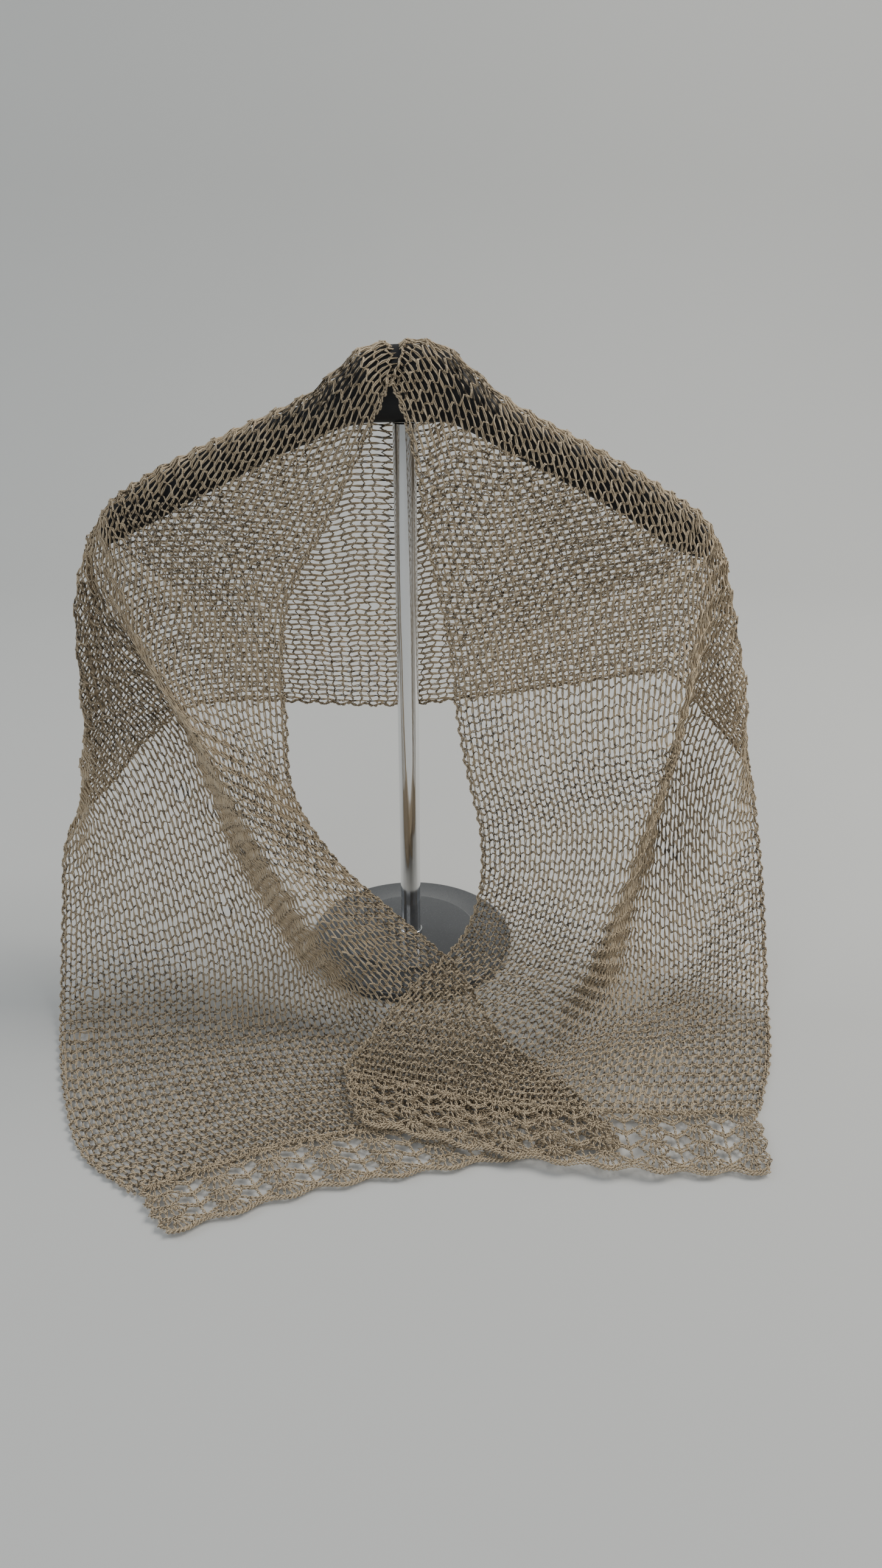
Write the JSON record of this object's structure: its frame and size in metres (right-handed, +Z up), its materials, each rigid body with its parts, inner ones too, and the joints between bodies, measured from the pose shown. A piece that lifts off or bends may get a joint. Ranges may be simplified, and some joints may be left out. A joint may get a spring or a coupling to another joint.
{
  "type": "knitted shawl on display stand",
  "caption": "Open garter-stitch shawl with crocheted shell borders, draped over a chrome display stand with a black shoulder bar and a round foot.",
  "frame": {"origin": "centre of the stand's round foot, on the surface that it stands on", "axes": "+Z up along the pole, +X to the right seen from the front, +Y to the back; the fronts hang towards -Y"},
  "size_m": [0.5431, 0.3941, 0.4744],
  "materials": {
    "knitting": "matt linen-cotton yarn, two strands together",
    "crochet": "matt linen-cotton yarn",
    "bar_plastic": "matt black",
    "chrome": "polished",
    "foot_enamel": "glossy dark grey"
  },
  "bodies": {
    "root": {"back_of_neck": "knitting", "left_shoulder": "knitting", "right_shoulder": "knitting", "left_front": "knitting", "left_end": "knitting", "right_front": "knitting", "right_end": "knitting", "left_border": "crochet", "right_border": "crochet", "shoulder_bar": "bar_plastic", "stand_pole": "chrome", "pole_collar": "chrome", "stand_base": "foot_enamel"}
  },
  "joints": []
}
